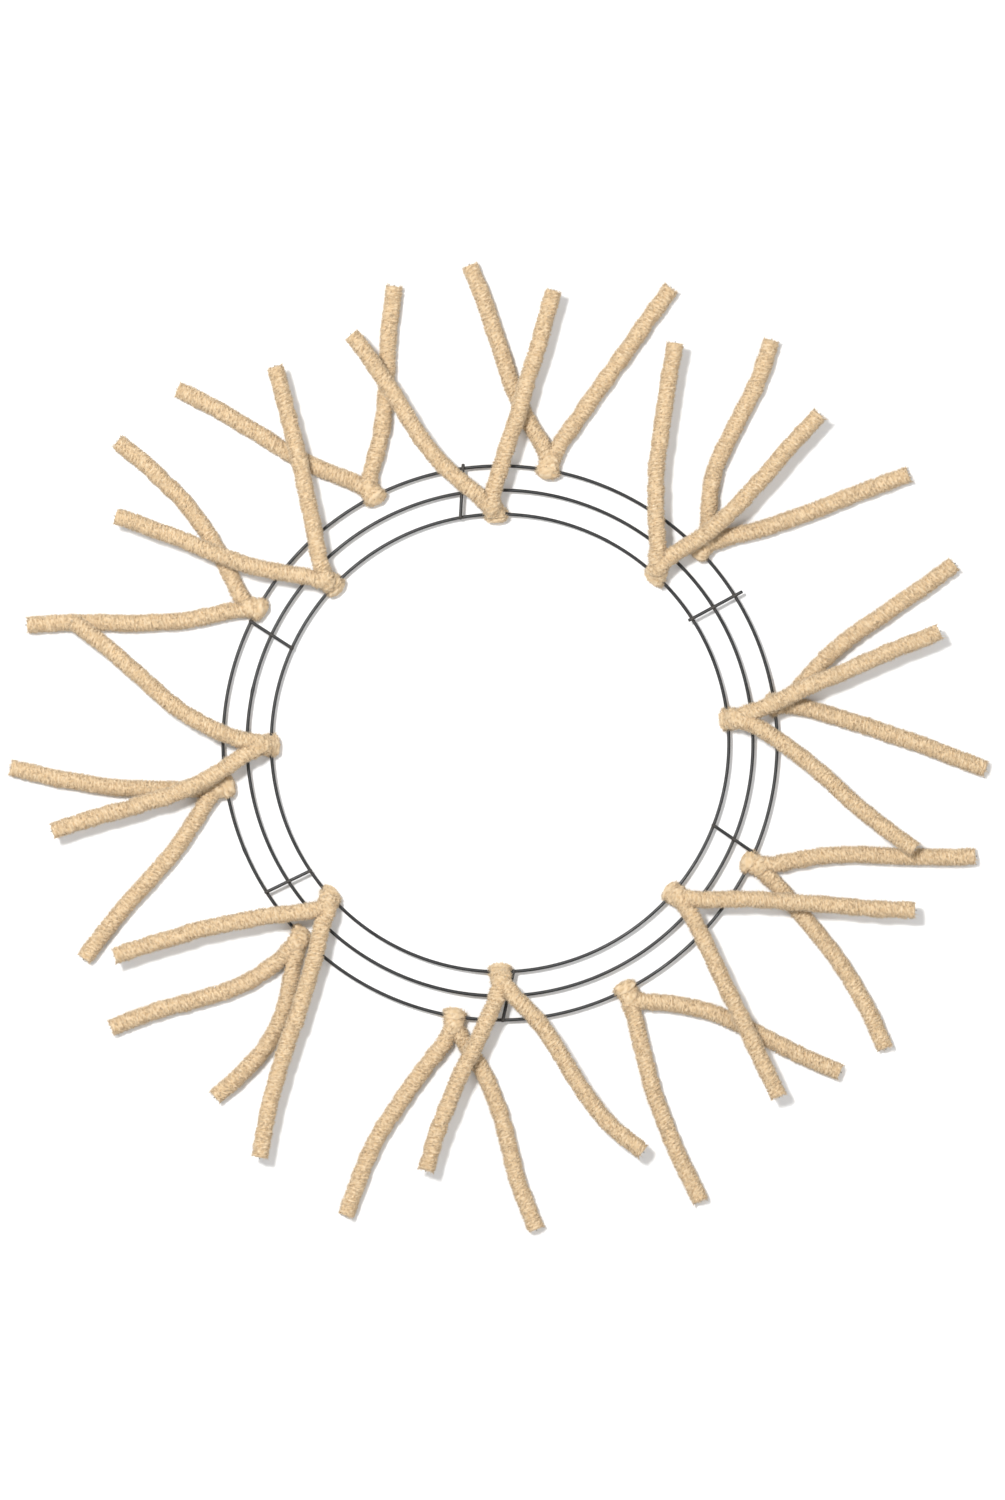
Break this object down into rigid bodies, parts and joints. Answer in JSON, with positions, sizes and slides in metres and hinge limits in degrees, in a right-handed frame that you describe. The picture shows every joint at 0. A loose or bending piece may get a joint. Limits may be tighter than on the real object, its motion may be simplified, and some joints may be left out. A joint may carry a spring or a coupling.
{
  "type": "wreath frame",
  "caption": "Flat wreath frame of concentric wire rings joined by short cross wires, with chenille ties twisted round the rings to hold gathered mesh or greenery.",
  "frame": {"origin": "centre of the rings, on the surface that the frame lies on", "axes": "+Z out of the front of the wreath, +Y up when it hangs, +X to the right seen from the front"},
  "size_m": [0.6698, 0.6631, 0.0248],
  "materials": {
    "ring_wire": "satin",
    "tie_pile": "matte",
    "tie_core": "satin"
  },
  "bodies": {
    "frame": {"outer_ring": "ring_wire", "middle_ring": "ring_wire", "inner_ring": "ring_wire", "cross_wire_1": "ring_wire", "cross_wire_2": "ring_wire", "cross_wire_3": "ring_wire", "cross_wire_4": "ring_wire", "cross_wire_5": "ring_wire", "cross_wire_6": "ring_wire"},
    "outer_tie_1": {"outer_tie_pile_1": "tie_pile", "outer_tie_wire_1": "tie_core"},
    "outer_tie_2": {"outer_tie_pile_2": "tie_pile", "outer_tie_wire_2": "tie_core"},
    "outer_tie_3": {"outer_tie_pile_3": "tie_pile", "outer_tie_wire_3": "tie_core"},
    "outer_tie_4": {"outer_tie_pile_4": "tie_pile", "outer_tie_wire_4": "tie_core"},
    "outer_tie_5": {"outer_tie_pile_5": "tie_pile", "outer_tie_wire_5": "tie_core"},
    "outer_tie_6": {"outer_tie_pile_6": "tie_pile", "outer_tie_wire_6": "tie_core"},
    "outer_tie_7": {"outer_tie_pile_7": "tie_pile", "outer_tie_wire_7": "tie_core"},
    "outer_tie_8": {"outer_tie_pile_8": "tie_pile", "outer_tie_wire_8": "tie_core"},
    "outer_tie_9": {"outer_tie_pile_9": "tie_pile", "outer_tie_wire_9": "tie_core"},
    "outer_tie_10": {"outer_tie_pile_10": "tie_pile", "outer_tie_wire_10": "tie_core"},
    "inner_tie_1": {"inner_tie_pile_1": "tie_pile", "inner_tie_wire_1": "tie_core"},
    "inner_tie_2": {"inner_tie_pile_2": "tie_pile", "inner_tie_wire_2": "tie_core"},
    "inner_tie_3": {"inner_tie_pile_3": "tie_pile", "inner_tie_wire_3": "tie_core"},
    "inner_tie_4": {"inner_tie_pile_4": "tie_pile", "inner_tie_wire_4": "tie_core"},
    "inner_tie_5": {"inner_tie_pile_5": "tie_pile", "inner_tie_wire_5": "tie_core"},
    "inner_tie_6": {"inner_tie_pile_6": "tie_pile", "inner_tie_wire_6": "tie_core"},
    "inner_tie_7": {"inner_tie_pile_7": "tie_pile", "inner_tie_wire_7": "tie_core"},
    "inner_tie_8": {"inner_tie_pile_8": "tie_pile", "inner_tie_wire_8": "tie_core"}
  },
  "joints": [
    {"name": "outer_tie_1_fold", "type": "hinge", "parent": "frame", "child": "outer_tie_1", "pos_m": [0.03289, 0.18652, 0.006], "axis": [0.9848, -0.1736, 0], "range_deg": [-90, 0]},
    {"name": "outer_tie_2_fold", "type": "hinge", "parent": "frame", "child": "outer_tie_2", "pos_m": [-0.08599, 0.16876, 0.006], "axis": [0.891, 0.454, 0], "range_deg": [-80, 0]},
    {"name": "outer_tie_3_fold", "type": "hinge", "parent": "frame", "child": "outer_tie_3", "pos_m": [-0.16565, 0.09182, 0.006], "axis": [0.4848, 0.8746, 0], "range_deg": [-90, 0]},
    {"name": "outer_tie_4_fold", "type": "hinge", "parent": "frame", "child": "outer_tie_4", "pos_m": [-0.18707, -0.02963, 0.006], "axis": [-0.1564, 0.9877, 0], "range_deg": [-90, 0]},
    {"name": "outer_tie_5_fold", "type": "hinge", "parent": "frame", "child": "outer_tie_5", "pos_m": [-0.13624, -0.13157, 0.006], "axis": [-0.6947, 0.7193, 0], "range_deg": [-90, 0]},
    {"name": "outer_tie_6_fold", "type": "hinge", "parent": "frame", "child": "outer_tie_6", "pos_m": [-0.03126, -0.1868, 0.006], "axis": [-0.9863, 0.165, 0], "range_deg": [-90, 0]},
    {"name": "outer_tie_7_fold", "type": "hinge", "parent": "frame", "child": "outer_tie_7", "pos_m": [0.08599, -0.16876, 0.006], "axis": [-0.891, -0.454, 0], "range_deg": [-90, 0]},
    {"name": "outer_tie_8_fold", "type": "hinge", "parent": "frame", "child": "outer_tie_8", "pos_m": [0.17095, -0.08154, 0.006], "axis": [-0.4305, -0.9026, 0], "range_deg": [-90, 0]},
    {"name": "outer_tie_9_fold", "type": "hinge", "parent": "frame", "child": "outer_tie_9", "pos_m": [0.13624, 0.13157, 0.006], "axis": [0.6947, -0.7193, 0], "range_deg": [-85, 0]},
    {"name": "outer_tie_10_fold", "type": "hinge", "parent": "frame", "child": "outer_tie_10", "pos_m": [0.18756, 0.02636, 0.006], "axis": [0.1392, -0.9903, 0], "range_deg": [-80, 0]},
    {"name": "inner_tie_1_fold", "type": "hinge", "parent": "frame", "child": "inner_tie_1", "pos_m": [-0.00273, 0.15638, 0.006], "axis": [0.9998, 0.0175, 0], "range_deg": [0, 85]},
    {"name": "inner_tie_2_fold", "type": "hinge", "parent": "frame", "child": "inner_tie_2", "pos_m": [-0.11345, 0.10766, 0.006], "axis": [0.6884, 0.7254, 0], "range_deg": [0, 90]},
    {"name": "inner_tie_3_fold", "type": "hinge", "parent": "frame", "child": "inner_tie_3", "pos_m": [-0.15639, -0.00136, 0.006], "axis": [-0.0087, 1, 0], "range_deg": [0, 80]},
    {"name": "inner_tie_4_fold", "type": "hinge", "parent": "frame", "child": "inner_tie_4", "pos_m": [-0.11623, -0.10465, 0.006], "axis": [-0.6691, 0.7431, 0], "range_deg": [0, 90]},
    {"name": "inner_tie_5_fold", "type": "hinge", "parent": "frame", "child": "inner_tie_5", "pos_m": [0, -0.1564, 0.006], "axis": [-1, 0, 0], "range_deg": [0, 90]},
    {"name": "inner_tie_6_fold", "type": "hinge", "parent": "frame", "child": "inner_tie_6", "pos_m": [0.11804, -0.10261, 0.006], "axis": [-0.6561, -0.7547, 0], "range_deg": [0, 90]},
    {"name": "inner_tie_7_fold", "type": "hinge", "parent": "frame", "child": "inner_tie_7", "pos_m": [0.15554, 0.01635, 0.006], "axis": [0.1045, -0.9945, 0], "range_deg": [0, 80]},
    {"name": "inner_tie_8_fold", "type": "hinge", "parent": "frame", "child": "inner_tie_8", "pos_m": [0.10666, 0.11438, 0.006], "axis": [0.7314, -0.682, 0], "range_deg": [0, 90]}
  ]
}
